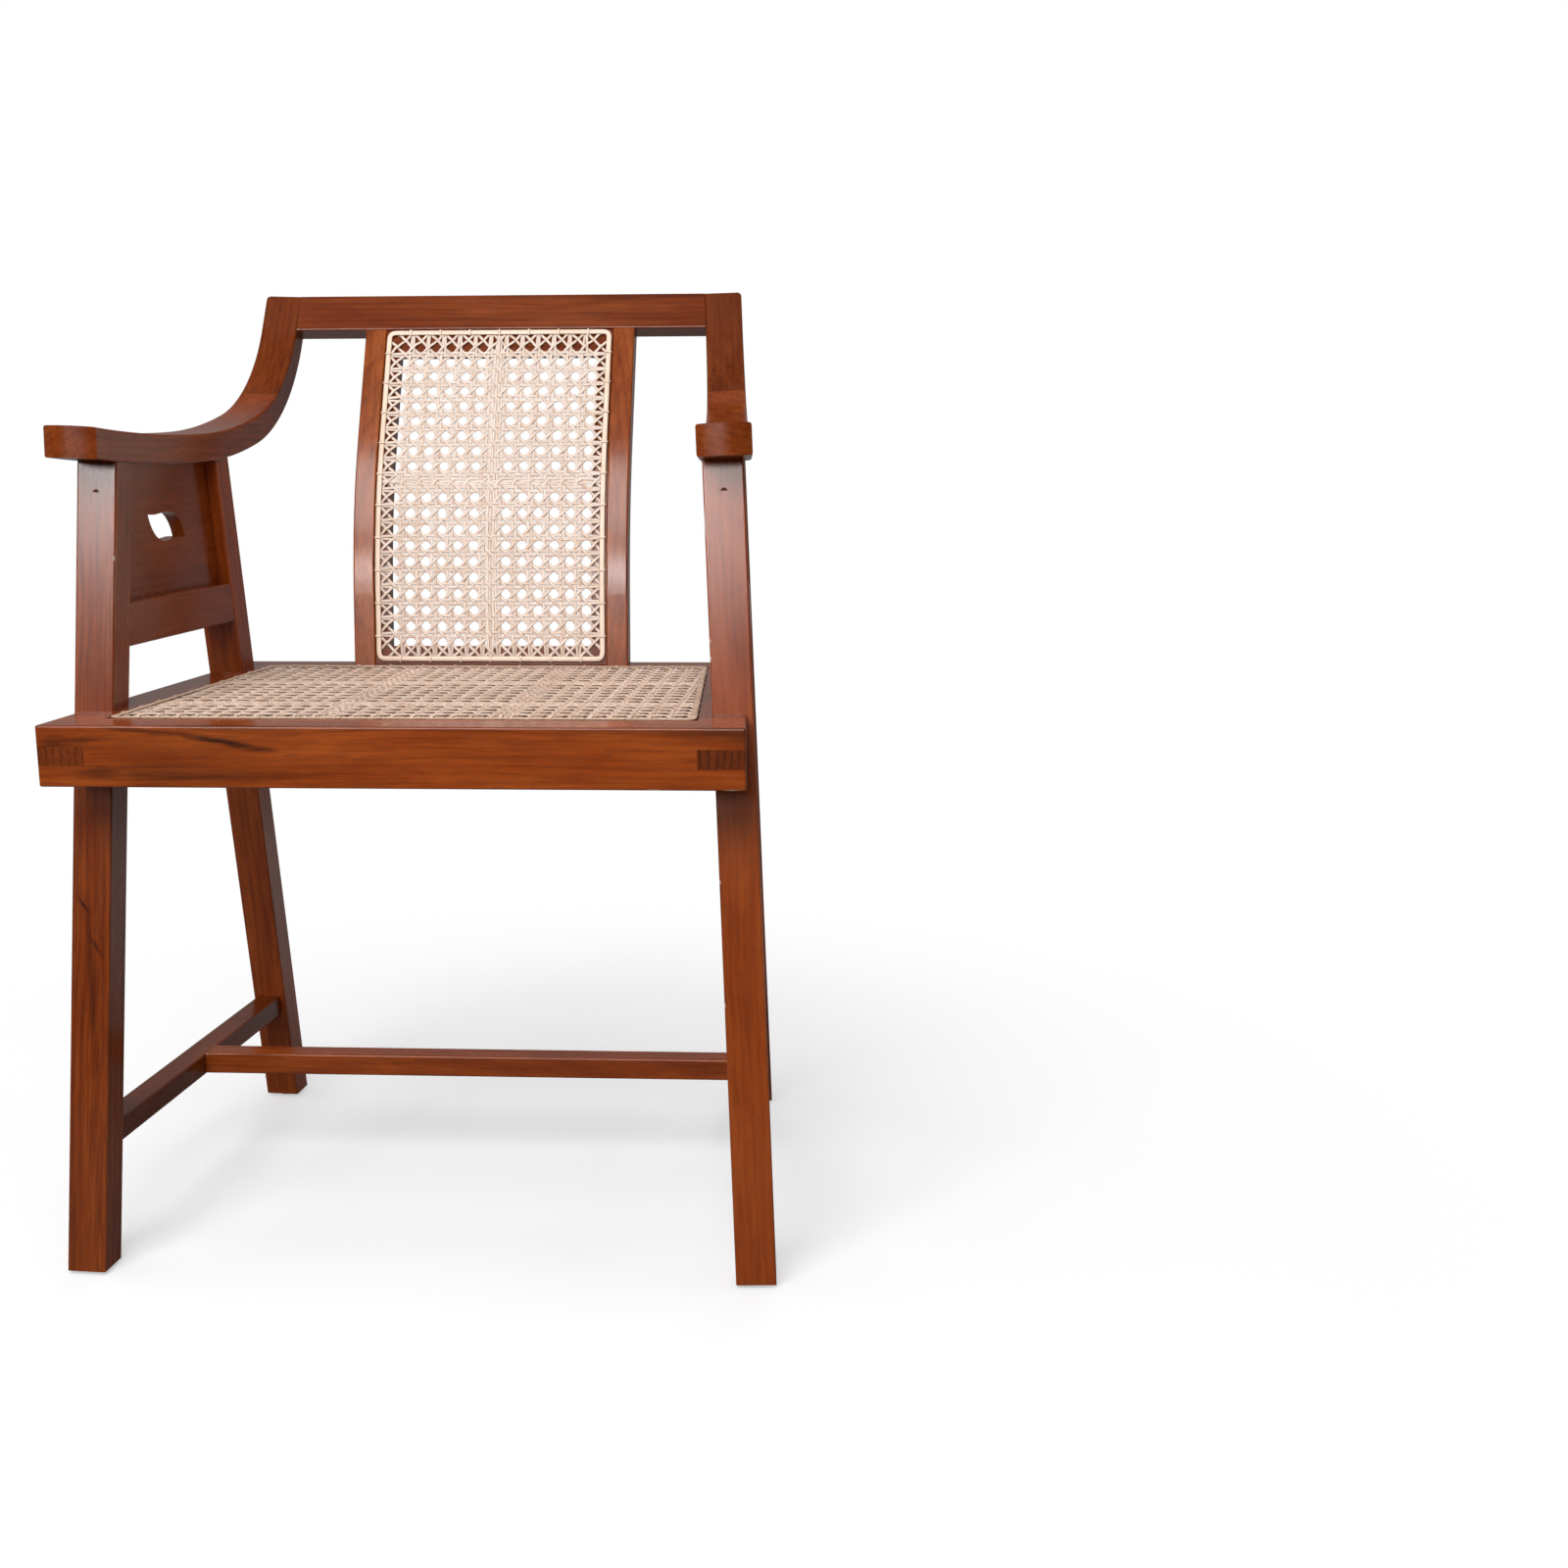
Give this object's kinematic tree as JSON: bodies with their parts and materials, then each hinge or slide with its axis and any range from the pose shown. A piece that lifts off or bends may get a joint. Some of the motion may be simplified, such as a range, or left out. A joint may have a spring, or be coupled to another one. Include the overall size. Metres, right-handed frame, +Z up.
{
  "type": "armchair",
  "caption": "Wooden armchair with woven cane seat and back, scooped arms that sweep up to a crest rail, lobed cut-outs in the arm panels, and leaning legs joined by stretchers.",
  "frame": {"origin": "on the floor under the middle of the overall box", "axes": "+Z up, -Y towards the chair's front, +X to the right as seen from the front"},
  "size_m": [0.5724, 0.4922, 0.7956],
  "materials": {
    "frame_wood": "satin",
    "arm_wood": "satin",
    "panel_wood": "satin",
    "bar_wood": "matte",
    "seat_cane": "satin",
    "back_cane": "satin",
    "cane_binding": "satin",
    "glide_metal": "satin"
  },
  "bodies": {
    "root": {"front_seat_rail": "frame_wood", "rear_seat_rail": "frame_wood", "left_seat_rail": "frame_wood", "right_seat_rail": "frame_wood", "left_front_leg": "frame_wood", "right_front_leg": "frame_wood", "left_rear_leg": "frame_wood", "right_rear_leg": "frame_wood", "left_panel_rail": "frame_wood", "right_panel_rail": "frame_wood", "left_side_stretcher": "frame_wood", "right_side_stretcher": "frame_wood", "cross_stretcher": "frame_wood", "leg_pegs": "frame_wood", "left_arm": "arm_wood", "right_arm": "arm_wood", "left_back_post": "arm_wood", "right_back_post": "arm_wood", "crest_rail": "arm_wood", "left_back_stile": "arm_wood", "right_back_stile": "arm_wood", "left_arm_panel": "panel_wood", "right_arm_panel": "panel_wood", "seat_frame_front_bar": "bar_wood", "seat_frame_rear_bar": "bar_wood", "left_seat_frame_bar": "bar_wood", "right_seat_frame_bar": "bar_wood", "back_panel_top_bar": "bar_wood", "back_panel_bottom_bar": "bar_wood", "back_panel_left_bar": "bar_wood", "back_panel_right_bar": "bar_wood", "seat_cane_plugs": "bar_wood", "back_cane_plugs": "bar_wood", "seat_cane": "seat_cane", "back_cane": "back_cane", "seat_cane_binding": "cane_binding", "back_cane_binding": "cane_binding", "foot_glides": "glide_metal"}
  },
  "joints": []
}
